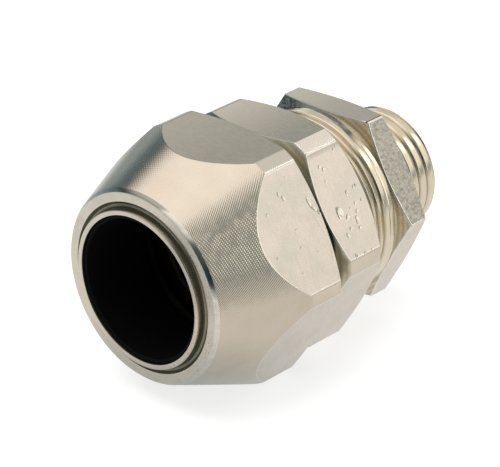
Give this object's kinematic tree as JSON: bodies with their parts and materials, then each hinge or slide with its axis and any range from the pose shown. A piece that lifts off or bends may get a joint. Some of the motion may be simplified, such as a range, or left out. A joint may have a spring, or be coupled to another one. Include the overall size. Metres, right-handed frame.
{
  "type": "cable gland",
  "caption": "Metal cable gland for armoured cable: stepped hexagons on one axis, raised-lip cable opening, black seals inside, threaded entry.",
  "frame": {"origin": "on the gland's axis, in the seat plane behind the entry hexagon, where the entry thread begins", "axes": "+Y along the axis from the cable opening to the entry thread; +Z normal to the cap nut's upper flat, opposite the flat that it lies on; +X completes the right-handed frame"},
  "size_m": [0.0336, 0.0448, 0.03],
  "materials": {
    "nickel_plated_brass": "satin nickel plate over turned and milled brass",
    "plain_brass": "turned",
    "black_rubber": "moulded, matte",
    "nylon": "moulded, natural"
  },
  "bodies": {
    "entry": {"entry_body": "nickel_plated_brass", "armour_cone": "plain_brass", "inner_washer": "nylon", "inner_seal": "black_rubber"},
    "armour_clamp": {"clamping_ring": "plain_brass"},
    "middle": {"middle_body": "nickel_plated_brass"},
    "seal_stack": {"outer_seal": "black_rubber", "slip_washer": "nylon"},
    "cap": {"cap_nut": "nickel_plated_brass"}
  },
  "joints": [
    {"name": "middle_travel", "type": "slide", "parent": "entry", "child": "armour_clamp", "axis": [0, 1, 0], "range_m": [-0.003, 0.002]},
    {"name": "middle_turn", "type": "hinge", "parent": "armour_clamp", "child": "middle", "pos_m": [0, -0.014, 0], "axis": [0, 1, 0], "range_deg": [-1080, 720]},
    {"name": "cap_travel", "type": "slide", "parent": "middle", "child": "seal_stack", "axis": [0, 1, 0], "range_m": [-0.006, 0.0005]},
    {"name": "cap_turn", "type": "hinge", "parent": "seal_stack", "child": "cap", "pos_m": [0, -0.025, 0], "axis": [0, 1, 0], "range_deg": [-2160, 180]}
  ],
  "couplings": [
    {"joint": "middle_turn", "follows": "middle_travel", "rad_per_m": 6283.2},
    {"joint": "cap_turn", "follows": "cap_travel", "rad_per_m": 6283.2}
  ]
}
